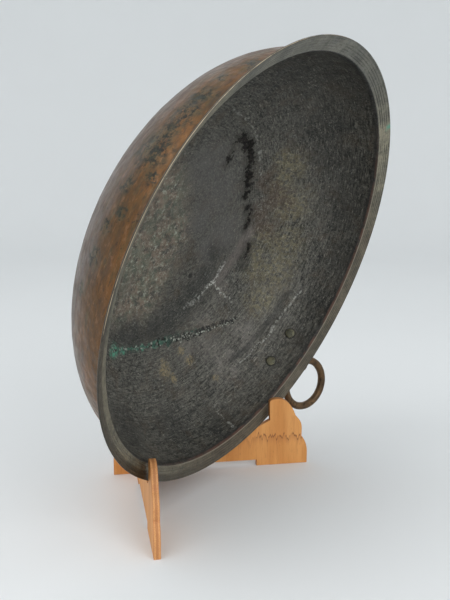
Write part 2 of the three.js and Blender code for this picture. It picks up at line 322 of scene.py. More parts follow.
class Look:
    """A procedural material. Its methods add nodes, which read the position in the place's frame, or the
    position at. Sizes, amounts and bump distances are in mm. Masks are fields from 0 to 1."""

    def __init__(self, name, place=Matrix.Identity(4)):
        self.material = bpy.data.materials.new(name)
        self.material.use_nodes = True
        self.tree = self.material.node_tree
        self.tree.nodes.clear()
        self.shader = self.tree.nodes.new("ShaderNodeBsdfPrincipled")
        output = self.tree.nodes.new("ShaderNodeOutputMaterial")
        self.tree.links.new(self.shader.outputs[0], output.inputs[0])
        self.colour = None
        self.bumps = None
        frame_of_place = {
            "Vector": self.node("ShaderNodeTexCoord", {}, "Object"),
            "Location": place.to_translation(),
            "Rotation": place.to_euler(),
        }
        self.here = self.node("ShaderNodeMapping", frame_of_place, vector_type="TEXTURE")

    def put(self, socket, value):
        if isinstance(value, Field):
            self.tree.links.new(value.socket, socket)
        elif value is not None:
            socket.default_value = value

    def node(self, kind, inputs, out=0, **settings):
        """Adds a node. inputs gives a value for each named or numbered input, and out picks an output."""
        made = self.tree.nodes.new(kind)
        for key, value in settings.items():
            setattr(made, key, value)
        for key, value in inputs.items():
            self.put(made.inputs[key], value)
        return Field(self, made.outputs[out])

    def math(self, operation, a, b=None, clamp=False):
        return self.node("ShaderNodeMath", {0: a, 1: b}, operation=operation, use_clamp=clamp)

    def vector_math(self, operation, a, b=None, out=0, **settings):
        return self.node("ShaderNodeVectorMath", {0: a, 1: b, **settings}, out, operation=operation)

    def axis(self, index, at=None):
        """One coordinate of the position: 0 for X, 1 for Y and 2 for Z."""
        return self.node("ShaderNodeSeparateXYZ", {0: at or self.here}, index)

    def stretch(self, x, y, z, at=None):
        return self.vector_math("MULTIPLY", at or self.here, (x, y, z))

    def radius(self):
        """Distance from the bowl's axis."""
        x, y = self.axis(0), self.axis(1)
        return self.math("SQRT", x * x + y * y)

    def polar(self, size):
        """A position that changes slowly round the bowl and fast across it, for marks made in rows."""
        radius = self.radius()
        share = self.math("DIVIDE", size * MM, self.math("MAXIMUM", radius, 1 * MM))
        x, y, z = (self.axis(index) for index in range(3))
        return self.node("ShaderNodeCombineXYZ", {0: x * share, 1: y * share, 2: radius + z})

    def noise(self, size, detail=4, roughness=0.55, at=None, out="Fac"):
        inputs = {"Vector": at or self.here, "Scale": 1 / (size * MM), "Detail": detail}
        return self.node("ShaderNodeTexNoise", {**inputs, "Roughness": roughness}, out)

    def cells(self, size, at=None):
        inputs = {"Vector": at or self.here, "Scale": 1 / (size * MM)}
        return self.node("ShaderNodeTexVoronoi", inputs, "Distance")

    def wander(self, size, amount, at=None):
        """The position moved about by noise, so that what is drawn with it gets ragged edges."""
        centred = self.vector_math("SUBTRACT", self.noise(size, 4, 0.5, at, "Color"), (0.5,) * 3)
        inputs = {0: centred, 1: (amount * MM,) * 3, 2: at or self.here}
        return self.node("ShaderNodeVectorMath", inputs, operation="MULTIPLY_ADD")

    def distance(self, point, at=None):
        return self.vector_math("DISTANCE", at or self.here, point, out=1)

    def line(self, route, at=None):
        """Distance to a line through (rim angle, radius in mm) places, seen along the bowl's axis."""
        flat = self.stretch(1, 1, 0, at)
        points = [rim_place(*place) for place in route]
        nearest = None
        for start, end in zip(points, points[1:]):
            span = (end[0] - start[0], end[1] - start[1], 0)
            length = span[0] ** 2 + span[1] ** 2
            away = self.vector_math("SUBTRACT", flat, (start[0], start[1], 0))
            reach = (span[0] / length, span[1] / length, 0)
            share = self.math("ADD", self.vector_math("DOT_PRODUCT", away, reach, out=1), 0.0, True)
            along = self.vector_math("SCALE", span, Scale=share)
            gap = self.vector_math("DISTANCE", away, along, out=1)
            nearest = nearest.least(gap) if nearest else gap
        return nearest

    def spots(self, places, soft=0.6, at=None):
        """1 inside any of the places, each (point, radius), falling to 0 past it."""
        nearest = None
        for point, radius in places:
            share = self.math("DIVIDE", self.distance(point, at), radius)
            nearest = nearest.least(share) if nearest else share
        return nearest.ramp(1 - soft, 1 + soft, 1.0, 0.0)

    def mix(self, factor, a, b):
        return self.node("ShaderNodeMix", {0: factor, 6: a, 7: b}, 2, data_type="RGBA")

    def base(self, mask, low, high):
        """Starts the colour: low where the mask is 0 and high where it is 1."""
        self.colour = self.mix(mask, linear(*low), linear(*high))

    def tint(self, mask, strength, target):
        """Moves the colour towards target by a share that is the mask times strength."""
        self.colour = self.mix(mask * strength, self.colour, linear(*target))

    def raise_by(self, height, distance, strength):
        """Adds a bump. Bumps are chained, so that each one starts from the normal of the last."""
        inputs = {"Strength": strength, "Distance": distance * MM, "Height": height, "Normal": self.bumps}
        self.bumps = self.node("ShaderNodeBump", inputs)

    def finish(self, metallic, roughness):
        self.put(self.shader.inputs["Base Color"], self.colour)
        self.put(self.shader.inputs["Metallic"], metallic)
        self.put(self.shader.inputs["Roughness"], roughness)
        self.put(self.shader.inputs["Normal"], self.bumps)
        return self.material


# Lines inside the bowl, as (rim angle in degrees, radius in mm)
BLACK_STREAK = [
    [(146, 158), (141, 162), (134, 163), (127, 161), (120, 158), (113, 157), (107, 153)],
    [(98, 163), (93, 168), (89, 168), (86, 166)],
    [(79, 186), (75, 185), (70, 187), (68, 190)],
]
BLACK_BRANCH = [(149, 154), (143, 140), (136, 124)]
WALL_SEAM = [(330, 186), (338, 181), (351, 177), (6, 176), (15, 179), (30, 195), (37, 204), (44, 215)]
PALE_CRACKS = [(65, 156), (60, 157), (54, 159), (50, 157), (44, 154), (38, 156), (28, 150)]
PALE_BRANCH = [(52, 158), (51, 182), (52, 196), (51, 206)]
PALE_MIDDLE = (55, 160)
SQUIGGLE = [(17.5, 271), (16, 275), (16.6, 277.5), (15.8, 279.5)]
RIDGE_LINE = [(70, 268), (64, 266), (57, 263), (49, 263.5), (42, 262), (36, 260)]
RIDGE_SHADE = [(68, 262), (57, 258), (49, 258), (42, 256), (34, 252)]
PAN_CREASE = [(170, 178), (155, 179), (144, 179), (130, 178), (116, 177)]
SEAM_BAND = [(84, 177), (78, 174), (70, 170), (62, 165), (54, 164)]
# Each with its width in mm and its strength
PALE_LINES = [(PALE_CRACKS, 4.6, 0.9), (PALE_BRANCH, 2.8, 0.75), (PAN_CREASE, 2.2, 0.6), (SQUIGGLE, 1.3, 0.9)]

# Places inside the bowl, as (rim angle in degrees, radius in mm, size in mm)
OLIVE_PATCH = [
    (83, 236, 30), (72, 236, 30), (60, 236, 24), (117, 222, 24), (99, 228, 30), (108, 206, 18), (70, 208, 20),
    (84, 202, 16), (76, 198, 14), (122, 208, 15), (113, 214, 14),
]
BROWN_BAND = [
    (112, 184, 14), (108, 196, 14), (104, 210, 13), (100, 222, 12), (95, 186, 15), (88, 200, 14),
    (101, 200, 16),
]
MOTTLED_PAN = [
    (336, 40, 50), (345, 98, 36), (300, 60, 50), (210, 50, 40), (60, 26, 30), (330, 130, 26), (5, 70, 24),
]
SMOOTH_PAN = [(115, 102, 40), (82, 132, 30), (150, 100, 40), (95, 70, 30), (66, 110, 20)]
PALE_WALL = [(52, 182, 18), (34, 188, 20), (20, 204, 18), (32, 250, 26), (45, 246, 22), (30, 222, 24)]
TAN_SPOTS = [(17, 202, 6), (19, 219, 7), (5, 214, 10), (8, 228, 6), (5, 203, 5), (25, 254, 5)]
VERDIGRIS = [(330, 186, 9), (337, 183, 5), (2, 178, 4), (352, 177, 4)]
# Painted shade on the upper inside of the wall, where the wall itself shades the inside
PAINTED_SHADE_WALL = [
    (165, 272, 110), (133, 258, 40), (118, 268, 40), (103, 276, 36), (86, 279, 30), (70, 280, 26),
    (56, 280, 18), (13, 280, 30), (356, 270, 30), (335, 265, 30),
]
# Painted shadow on the pan just inside the crease where it meets the wall
PAINTED_SHADOW_PAN_CREASE = [
    (66, 130, 16), (50, 136, 18), (38, 140, 20), (26, 148, 20), (14, 154, 22), (0, 156, 22), (345, 158, 22),
    (334, 160, 20),
]
BLACK_DOT = [(42, 114, 4)]

# Patches of patina: places, grain in mm, the noise at which a patch starts and is full, strength, colour
PAN_PATCHES = [
    (MOTTLED_PAN, 12, 0.4, 0.54, 0.85, (136, 120, 104)),
    (MOTTLED_PAN, 26, 0.48, 0.56, 0.55, (102, 112, 96)),
    (MOTTLED_PAN, 7, 0.52, 0.58, 0.5, (70, 64, 58)),
    (MOTTLED_PAN, 6, 0.55, 0.6, 0.8, (164, 170, 156)),
]
WALL_PATCHES = [
    (PALE_WALL, 12, 0.36, 0.6, 0.5, (124, 118, 112)),
    (OLIVE_PATCH, 8, 0.42, 0.58, 0.66, (120, 111, 84)),
    (OLIVE_PATCH, 5, 0.54, 0.6, 0.5, (158, 152, 126)),
    (BROWN_BAND, 14, 0.34, 0.54, 0.5, (104, 86, 72)),
    (BROWN_BAND, 7, 0.47, 0.54, 0.7, (50, 41, 34)),
]

# Green-black stains on the outside, as (rim angle in degrees, depth in mm, size in mm)
OUTSIDE_STAINS = [
    (237, 47, 23), (227, 42, 17), (221, 42, 15), (232, 44, 14), (243, 28, 8), (246, 56, 10),
    (252, 44, 8), (256, 58, 9), (263, 60, 10), (207, 30, 12), (214, 46, 8), (272, 70, 8),
    (131, 48, 16), (118, 62, 12), (12, 70, 18), (338, 52, 12), (84, 40, 14), (160, 58, 20),
]

LIP_GREEN = (0.2207, 0.1987, -0.0015)  # a spot of verdigris on the lip, in the bowl frame
LIP_SCRIBES = (297.0, 293.4, 290.2, 286.6, 283.8)  # radii of the rings scribed in the lip, in mm


def lay_patches(look, patches):
    for places, grain, start, full, strength, colour in patches:
        where = look.spots(placed(places), 0.7, look.wander(50, 40))
        look.tint(where * look.noise(grain, 6, 0.78).ramp(start, full), strength, colour)


def shade(look, places, outline, soft, strength, colour):
    """A broad soft shade over places, whose outline is the position that it follows."""
    look.tint(look.spots(placed(places), soft, outline), strength, colour)


def add_clouds(look):
    """Broad changes of the patina: pale, brown and olive patches; then painted shade high on the wall and
    painted shadow on the pan just inside its crease.
    """
    look.tint(look.noise(90, 6, 0.6).ramp(0.4, 0.64), 0.22, (112, 108, 100))
    brown = look.noise(30, 5, 0.7, look.wander(14, 16))
    look.tint(brown.ramp(0.5, 0.66), 0.42, (86, 74, 60))
    lay_patches(look, PAN_PATCHES)
    shade(look, SMOOTH_PAN, look.wander(50, 30), 0.7, 0.6, (92, 90, 88))
    lay_patches(look, WALL_PATCHES)
    band = look.line(SEAM_BAND, look.wander(30, 12))
    look.tint(band.ramp(13 * MM, 4 * MM), 0.4, (126, 116, 112))
    # Painted shade high on the inside of the wall
    shade(look, PAINTED_SHADE_WALL, look.wander(60, 50), 0.8, 0.5, (38, 39, 38))
    # Painted shadow on the pan just inside its crease with the wall
    shade(look, PAINTED_SHADOW_PAN_CREASE, look.wander(60, 30), 0.8, 0.68, (40, 41, 39))


def add_scratches(look):
    """Thin pale scratches and cracks, which noise breaks up along their length, and a painted shade beside
    the ridge that the dent raised.
    """
    thin = look.wander(9, 14)
    broken = look.noise(5, 4, 0.8).ramp(0.46, 0.56)
    bright = look.distance(rim_place(*PALE_MIDDLE)).ramp(50 * MM, 10 * MM, 0.5, 1.0)
    for route, width, strength in PALE_LINES:
        mark = look.line(route, thin).ramp(width * MM, 0.3 * width * MM)
        look.tint(mark * broken * bright, strength, (190, 190, 182))
    smooth = look.wander(30, 5)
    # Painted shade along one side of the ridge
    look.tint(look.line(RIDGE_SHADE, smooth).ramp(4 * MM, 1 * MM), 0.5, (40, 40, 38))
    scratch = look.line(RIDGE_LINE, smooth).ramp(1.1 * MM, 0.3 * MM)
    look.tint(scratch * broken, 0.6, (176, 176, 168))
    curls = look.noise(16, 2, 0.5, look.wander(12, 22)) - 0.5
    curls = abs(curls).ramp(0.01, 0.0) * look.noise(40, 3, 0.6).ramp(0.48, 0.6)
    look.tint(curls * broken, 0.7, (150, 152, 144))


def add_black_streak(look):
    """The black streak down the pan's side, with its dark edge and thin branch, and a dot on the pan.
    Gives the streak's mask, because it is almost a black metal, which reflects nearly nothing."""
    torn = look.wander(6, 9, look.wander(24, 12))
    away = look.line(BLACK_BRANCH, torn) + 4.5 * MM
    for route in BLACK_STREAK:
        away = away.least(look.line(route, torn))
    look.tint(away.ramp(15 * MM, 4 * MM), 0.5, (46, 44, 38))
    thick = look.axis(1).ramp(-0.03, 0.06, 5 * MM, 11.5 * MM)
    width = thick * look.noise(18, 4, 0.75).ramp(0.38, 0.56) - 3 * MM
    black = (away - width).ramp(3.5 * MM, -1.5 * MM)
    look.tint(black, 0.82, (34, 28, 25))
    look.tint(black * look.noise(5, 4, 0.7).ramp(0.56, 0.48), 0.9, (15, 13, 12))
    dot = look.spots(placed(BLACK_DOT), 0.3, look.wander(6, 5))
    look.tint(dot, 0.8, (26, 24, 23))
    return black


def add_seam_stains(look):
    """Black gaps and a green halo along the wall's seam, and verdigris where it leaves the pan's seam."""
    jagged = look.wander(6, 9)
    gap = look.line(WALL_SEAM[3:], jagged).ramp(3.6 * MM, 1 * MM)
    look.tint(gap * look.noise(6, 4, 0.75).ramp(0.56, 0.48), 0.85, (26, 26, 24))
    halo = look.line(WALL_SEAM[:6], jagged).ramp(8 * MM, 1 * MM)
    look.tint(halo * look.noise(7, 5, 0.75).ramp(0.46, 0.6), 0.6, (66, 100, 86))
    green = look.spots(placed(VERDIGRIS), at=jagged)
    look.tint(green * look.noise(4, 4, 0.7).ramp(0.42, 0.54), 1.0, (84, 152, 126))


def towards_low_right(look):
    """0 on the far side of the rim and 1 on its lower right, where its inner edge is rubbed bare and where a
    highlight is painted along it.
    """
    return (look.axis(0) * 0.8 - look.axis(1) * 0.6).ramp(0.02, 0.2)


def add_rim_shadow(look):
    """Painted shadow in the bend under the lip, and a line of bare copper over it on the lower right."""
    depth = look.axis(2, look.wander(10, 2))
    # Painted shadow in the bend under the lip
    look.tint(depth.ramp(-17 * MM, -11 * MM), 0.75, (26, 25, 23))
    bare = depth.ramp(-11.5 * MM, -9.5 * MM) * towards_low_right(look)
    look.tint(bare * look.noise(22, 4, 0.6).ramp(0.36, 0.56), 0.55, (104, 68, 52))


def add_rivet_rings(look):
    """A dark ring round each rivet's head."""
    for angle in (HANDLE_ANGLE - RIVET_ANGLE, HANDLE_ANGLE + RIVET_ANGLE):
        gap = look.distance(rim_place(math.degrees(angle), depth=BRACKET_DEPTH / MM))
        look.tint(abs(gap - 8 * MM).ramp(1.6 * MM, 0.4 * MM), 0.7, (30, 30, 28))


def inside_patina(name, contrast):
    """Grey-brown inside of the bowl. contrast is how strongly the hammer's marks show in the patina."""
    look = Look(name, BOWL)
    fine = look.noise(3.4, 5, 0.8)
    rows = look.noise(3, 4, 0.75, look.polar(50))
    marks = look.cells(6, look.wander(20, 5))
    grain = (fine + rows) * 0.5
    look.base(grain.ramp(0.5 - 0.08 / contrast, 0.5 + 0.09 / contrast), (32, 32, 30), (104, 102, 94))
    add_clouds(look)
    dashes = look.noise(2.6, 3, 0.7, look.polar(70)).ramp(0.58, 0.68)
    look.tint(dashes, 0.6 * contrast, (150, 146, 134))
    look.tint(look.noise(3, 3, 0.7).ramp(0.6, 0.7), 0.5 * contrast, (160, 156, 144))
    look.tint(look.noise(5.5, 4, 0.75).ramp(0.37, 0.3), 0.8, (26, 25, 24))
    tan = look.spots(placed(TAN_SPOTS), at=look.wander(8, 12))
    look.tint(tan * look.noise(3.5, 4, 0.75).ramp(0.42, 0.56), 0.8, (150, 134, 100))
    add_scratches(look)
    add_rivet_rings(look)
    black = add_black_streak(look)
    add_seam_stains(look)
    add_rim_shadow(look)
    look.raise_by(marks, 1.0, 0.45 * contrast)
    look.raise_by(rows, 1.0, 0.6 * contrast)
    look.raise_by(fine, 0.8, 0.6)
    rough = look.noise(16, 5, 0.6).ramp(0.3, 0.7, 0.42, 0.62)
    return look.finish(black.ramp(0, 1, 0.35, 0.75), rough)


def outside_copper():
    """Brown copper, orange under the lip and purple-grey away from it, partly a duller tone and partly a
    painted sheen of the pale surroundings, with green-black stains.
    """
    look = Look("outside_copper", BOWL)
    streaked = look.polar(90)
    look.base(look.noise(40, 6, 0.65, streaked).ramp(0.36, 0.66), (90, 62, 28), (120, 80, 38))
    uneven = look.noise(30, at=streaked) * (70 * MM)
    # The purple-grey away from the lip is partly duller copper and partly a painted sheen of the pale
    # surroundings
    away = (look.axis(2) + uneven).ramp(0, -50 * MM)
    look.tint(away, 0.9, (98, 84, 76))
    dull = look.noise(26, 6, 0.7, look.wander(60, 30, streaked))
    look.tint(dull.ramp(0.46, 0.62), 0.6, (78, 64, 54))
    look.tint(look.noise(14, 6, 0.75, streaked).ramp(0.48, 0.64), 0.55, (84, 76, 48))
    fine = look.noise(6, 5, 0.75, look.polar(120))
    look.tint(fine.ramp(0.48, 0.66), 0.6, (54, 42, 36))
    look.tint(fine.ramp(0.46, 0.34), 0.45, (146, 108, 82))
    places = [(rim_place(angle, depth=deep), size * MM) for angle, deep, size in OUTSIDE_STAINS]
    near_stain = look.spots(places, 0.5, look.wander(9, 26))
    veil = look.noise(16, 5, 0.7, look.wander(12, 10)).ramp(0.38, 0.54)
    look.tint(near_stain * veil, 0.45, (80, 80, 58))
    look.tint(near_stain * look.noise(10, 6, 0.75).ramp(0.47, 0.56), 0.9, (40, 46, 37))
    pits = look.noise(6, 4, 0.7, look.wander(6, 5)).ramp(0.51, 0.56)
    look.tint(near_stain * pits, 0.9, (26, 28, 22))
    look.tint(look.noise(9, 5, 0.75).ramp(0.63, 0.67), 0.8, (44, 38, 30))
    look.raise_by(look.cells(9, look.wander(20, 4)), 0.9, 0.5)
    look.raise_by(fine, 0.4, 0.4)
    rough = look.noise(22, 5, 0.6).ramp(0.3, 0.7, 0.32, 0.5)
    return look.finish(away.ramp(0, 1, 0.45, 0.15), rough)


def scribe_lip(look, radius, x):
    """Dark scribed rings, broken up by wear towards the left."""
    broken = look.noise(30, 4, 0.7, look.polar(260)).ramp(0.42, 0.56)
    broken = broken * x.ramp(-0.1, 0.08, 0.25, 1.0)
    for ring in LIP_SCRIBES:
        line = abs(radius - ring * MM).ramp(0.9 * MM, 0.3 * MM)
        look.tint(line * broken, 0.75, (40, 38, 33))


def lip_metal():
    """Grey-olive lip with scribed rings, dark at its outer edge, with painted shade under that edge, a
    painted highlight along it on the upper left, and a painted highlight along its inner edge on the lower
    right.
    """
    look = Look("lip_metal", BOWL)
    x, y, z = (look.axis(index) for index in range(3))
    radius = look.radius()
    scribed = look.noise(1.5, 3, 0.6, look.polar(12))
    fine = look.noise(3.5, 6, 0.75)
    look.base(look.noise(30, 6, 0.65).ramp(0.35, 0.66), (112, 108, 94), (146, 140, 120))
    low_left = x.ramp(0.1, -0.16) * y.ramp(0.12, -0.04)
    look.tint(low_left, 0.3, (70, 70, 60))
    look.tint(y.ramp(0.18, 0.27), 0.55, (78, 82, 82))
    low_right = towards_low_right(look) * y.ramp(0.12, 0.02)
    look.tint(low_right, 0.62, (82, 69, 56))
    look.tint(low_left * radius.ramp(288 * MM, 293 * MM), 0.75, (52, 46, 38))
    look.tint(scribed.ramp(0.5, 0.66), 0.5, (60, 58, 50))
    look.tint(fine.ramp(0.5, 0.64), 0.5, (58, 58, 50))
    scribe_lip(look, radius, x)
    look.tint(look.noise(10, 5, 0.75).ramp(0.52, 0.64), 0.5, (60, 62, 52))
    look.tint(radius.ramp(298.2 * MM, 299.2 * MM), 0.6, (52, 50, 44))
    # Painted highlight along the outer edge on the upper left, where the rounded edge catches the light
    wear_and_highlight = radius.ramp(299.2 * MM, 299.6 * MM) * look.noise(40, 5, 0.7).ramp(0.36, 0.56)
    wear_and_highlight = wear_and_highlight * y.ramp(-0.08, 0.02) * x.ramp(0.06, -0.06) * z.ramp(-1.4 * MM, -0.9 * MM)
    look.tint(wear_and_highlight, 0.75, (196, 178, 150))
    # Painted highlight along the lip's inner edge on the lower right
    look.tint(radius.ramp(282.4 * MM, 281.6 * MM) * low_right, 0.6, (156, 146, 130))
    # Painted shade on the underside of the lip's outer edge
    painted_shade_under_edge = z.ramp(-1.4 * MM, -2.2 * MM) * radius.ramp(299 * MM, 299.5 * MM)
    look.tint(painted_shade_under_edge, 0.7, (58, 42, 30))
    green = look.spots([(LIP_GREEN, 5 * MM)], at=look.wander(6, 8))
    look.tint(green, 0.8, (88, 150, 128))
    look.raise_by(scribed, 0.35, 0.7)
    look.raise_by(fine, 0.4, 0.6)
    return look.finish(0.5, look.noise(12, 5, 0.6).ramp(0.3, 0.7, 0.34, 0.52))


def wall_braze():
    """Old braze along the wall's seam, broken by black gaps and pale crumbs, and greener towards -X."""
    look = Look("wall_braze", BOWL)
    look.base(look.noise(3, 3, 0.6).ramp(0.53, 0.62), (84, 83, 76), (168, 171, 160))
    black = look.noise(6, 3, 0.7, look.wander(5, 6)).ramp(0.52, 0.48)
    look.tint(black, 0.92, (24, 24, 22))
    green = look.noise(9, 4, 0.65).ramp(0.42, 0.56) * look.axis(0).ramp(60 * MM, 5 * MM)
    look.tint(green, 0.75, (62, 110, 92))
    look.raise_by(look.noise(1.6, 4, 0.6), 0.5, 0.7)
    return look.finish(0.2, 0.62)


def handle_metal(name, dull, wear_and_highlight):
    look = Look(name)
    look.base(look.noise(14, 6, 0.65).ramp(0.35, 0.65), dull, wear_and_highlight)
    look.tint(look.noise(4, 4, 0.7).ramp(0.46, 0.36), 0.7, (36, 30, 24))
    look.raise_by(look.cells(5), 0.3, 0.35)
    look.raise_by(look.noise(2, 4, 0.6), 0.25, 0.5)
    return look.finish(0.7, look.noise(7, 4, 0.6).ramp(0.3, 0.7, 0.38, 0.6))


def add_mineral_line(look):
    """A dark, jagged line across the front of a board, with a soft brown shade under it."""
    zigzag = look.noise(7.5, 2, 0.6, look.stretch(1, 0, 0)) - 0.5
    height = look.axis(2) - 45.5 * MM + zigzag * (62 * MM)
    line = abs(height).ramp(2.2 * MM, 0.5 * MM) * look.axis(0).ramp(-172 * MM, -184 * MM)
    broken = look.noise(4, 2, at=look.stretch(1, 0.2, 0.3)).ramp(0.36, 0.5)
    look.tint(line * broken, 0.8, (116, 60, 30))
    look.tint(height.ramp(-14 * MM, 0) * height.ramp(1 * MM, -1 * MM), 0.35, (166, 98, 54))


def board_wood(name, place, streaked):
    """Veneer with upright grain. A streaked board has a mineral line."""
    look = Look(name, place)
    grain = look.noise(2.2, 6, 0.65, look.stretch(1, 0.4, 0.05))
    broad = look.noise(26, 4, 0.6, look.stretch(1, 0.4, 0.12))
    pores = look.noise(0.9, 3, 0.6, look.stretch(1, 0.5, 0.08))
    look.base(broad.ramp(0.35, 0.68), (212, 142, 72), (228, 162, 92))
    look.tint(grain.ramp(0.5, 0.7), 0.4, (192, 122, 66))
    look.tint(pores.ramp(0.62, 0.7), 0.35, (140, 86, 48))
    if streaked:
        add_mineral_line(look)
    look.raise_by(grain, 0.12, 0.4)
    return look.finish(0.0, grain.ramp(0.3, 0.7, 0.46, 0.6))


def ply_edge(name, place):
    """The sawn edge of three-ply board: two pale plies and a darker one between, with burnt corners."""
    look = Look(name, place)
    across = abs(look.axis(1) + look.noise(30, 2) * (0.5 * MM) - 0.25 * MM)
    look.base(look.noise(1.2, 4, 0.7).ramp(0.35, 0.7), (222, 164, 104), (196, 130, 78))
    look.tint(across.ramp(1.7 * MM, 1.3 * MM), 0.55, (160, 94, 52))
    look.tint(across.ramp(3.7 * MM, 4.2 * MM), 0.8, (168, 92, 54))
    burn = look.noise(24, 3, at=look.stretch(1, 0.1, 1)).ramp(0.5, 0.7)
    look.tint(burn, 0.45, (172, 92, 56))
    look.raise_by(look.noise(1.0, 3, at=look.stretch(1, 0.2, 1)), 0.15, 0.5)
    return look.finish(0.0, 0.62)


# -------------------- the bowl

def lip_profile():
    """The lip's face from its outer edge inwards, with scribed rings, then its bend into the wall."""
    edge = 1.1 * MM
    scribe_depth, scribe_width = 0.3 * MM, 0.55 * MM
    turn = np.linspace(0, math.pi / 2, 5)
    outer = np.column_stack([
        LIP_RADIUS - edge + edge * np.cos(turn),
        LIP_SLOPE * edge + edge - edge * np.sin(turn),
    ])
    radii = np.linspace(LIP_RADIUS - 1.4 * MM, LIP_RADIUS - LIP_WIDTH + 0.7 * MM, 48)
    depth = (LIP_RADIUS - radii) * LIP_SLOPE
    for ring in LIP_SCRIBES:
        depth = depth + scribe_depth * bell(radii, ring * MM, scribe_width)
    face = np.vstack([outer, np.column_stack([radii, depth])])
    wall_start = on_section(phase_at_depth(BEND_DEPTH), -SHEET)
    inner = bend(face[-1], (279.4 * MM, 7.9 * MM), wall_start, 7)[1:-1]
    return face, inner


def eased(count, start_steps, end_steps):
    """Factors for count rows that rise from 0 over the first steps and fall back to 0 over the last."""
    row = np.arange(count)
    return np.clip(row / start_steps, 0, 1) * np.clip((count - 1 - row) / end_steps, 0, 1)


def side_wall_profile():
    """The closed outline of the wall's section, the blow depth and the material of each of its rows:
    the lip's face and edge, the inside, and the outside with the lip's back."""
    face, inner = lip_profile()
    top, end = phase_at_depth(BEND_DEPTH), phase_at_radius(PAN_RADIUS)
    inside = even_section(top, end, 80, -SHEET)
    outside = even_section(end, top, 60, 0)
    root = (282.9 * MM, LIP_EDGE + 17.1 * MM * LIP_SLOPE)
    back = np.vstack([
        bend(outside[-1], (281.2 * MM, 10.4 * MM), root, 5)[1:],
        [[LIP_RADIUS - 8 * MM, LIP_EDGE + 8 * MM * LIP_SLOPE], [LIP_RADIUS - 1 * MM, LIP_EDGE + 0.4 * MM]],
        [[LIP_RADIUS, LIP_EDGE - 0.8 * MM]],
    ])
    profile = np.vstack([face, inner, inside, outside, back])
    blows = np.concatenate([
        np.full(len(face) + len(inner), 0.06 * MM),
        0.06 * MM + 0.55 * MM * eased(len(inside), 5, 3),
        0.04 * MM + 0.3 * MM * eased(len(outside), 3, 8),
        np.full(len(back), 0.05 * MM),
    ])
    lip_slot, inside_slot, outside_slot, edge_rows = 0, 1, 2, 2
    slots = np.repeat(
        [lip_slot, inside_slot, outside_slot, lip_slot],
        [len(face) - 1, len(inner) + len(inside) + 1, len(outside) + len(back) - edge_rows, edge_rows],
    )
    return profile, blows, slots


def make_side_wall(lip, inside, outside):
    profile, blows, slots = side_wall_profile()
    points = hammer(profile, blows)
    faces = grid_faces(len(profile), AROUND, True)[:, ::-1]
    index = np.repeat(slots, AROUND)
    piece = make_mesh("kettle_side_wall", points.reshape(-1, 3), faces, BOWL, (lip, inside, outside), index)
    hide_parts("side_wall")
    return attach(piece, "bowl")


def pan_profile():
    """The pan's section from the middle of the inside, over its edge, to the middle of the outside."""
    edge, centre = phase_at_radius(PAN_RADIUS - PAN_GAP), math.pi / 2
    inside = even_section(centre, edge, 46, -SHEET)
    outside = even_section(edge, centre, 40, 0)
    return inside[1:], outside[:-1]


def make_bottom_pan(inside_look, outside_look):
    inside, outside = pan_profile()
    profile = np.vstack([inside, outside])
    blows = np.repeat([0.4 * MM, 0.35 * MM], [len(inside), len(outside)])
    edge = len(inside)
    blows[edge - 3:edge + 3] *= 0.25
    points = hammer(profile, blows).reshape(-1, 3)
    poles = [[0, 0, SHEET - BOWL_DEPTH], [0, 0, -BOWL_DEPTH]]
    faces = [face[::-1] for face in capped_faces(len(profile), AROUND)]
    inside_slot, outside_slot = 0, 1
    index = np.repeat(
        [inside_slot, outside_slot, inside_slot, outside_slot],
        np.array([len(inside), len(outside) - 1, 1, 1]) * AROUND,
    )
    looks = (inside_look, outside_look)
    piece = make_mesh("kettle_bottom_pan", np.vstack([points, poles]), faces, BOWL, looks, index)
    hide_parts("bottom_pan")
    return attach(piece, "bowl")


INSIDE, OUTSIDE = -1, 1


def bead(name, angles, radii, widths, height, lift, side, look):
    """A ragged ribbon of braze along the wall, with a crown, from rim angles and radii along its length.
    side is INSIDE or OUTSIDE."""
    section = [(-1, -0.6), (-0.55, 0.7), (0, 1), (0.55, 0.7), (1, -0.6)]
    path = np.column_stack([radii * np.sin(angles), -radii * np.cos(angles)])
    along = np.gradient(path, axis=0)
    along /= np.hypot(*along.T)[:, None]
    sideways = np.column_stack([-along[:, 1], along[:, 0]])
    sheet = SHEET if side == INSIDE else 0
    points = []
    for middle, direction, width in zip(path, sideways, widths):
        for share, rise in section:
            spot = middle + direction * share * width
            radius = float(np.hypot(*spot))
            r, depth = on_section(phase_at_radius(radius), side * (lift + height * rise + sheet))
            points.append((spot[0] / radius * r, spot[1] / radius * r, -depth - crease(r)))
    faces = grid_faces(len(path), len(section), False).reshape(-1, len(section), 4)
    faces = faces[:, :-1].reshape(-1, 4)[:, ::-side]
    piece = make_mesh(name, points, faces, BOWL, (look,))
    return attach(piece, "bowl")


def ragged_widths(count, base, spread):
    rough = random.normal(0, 1, count)
    smooth = np.convolve(rough, np.ones(3) / 3, "same")
    return np.clip(base + spread * smooth, 0.25 * base, 2.6 * base)


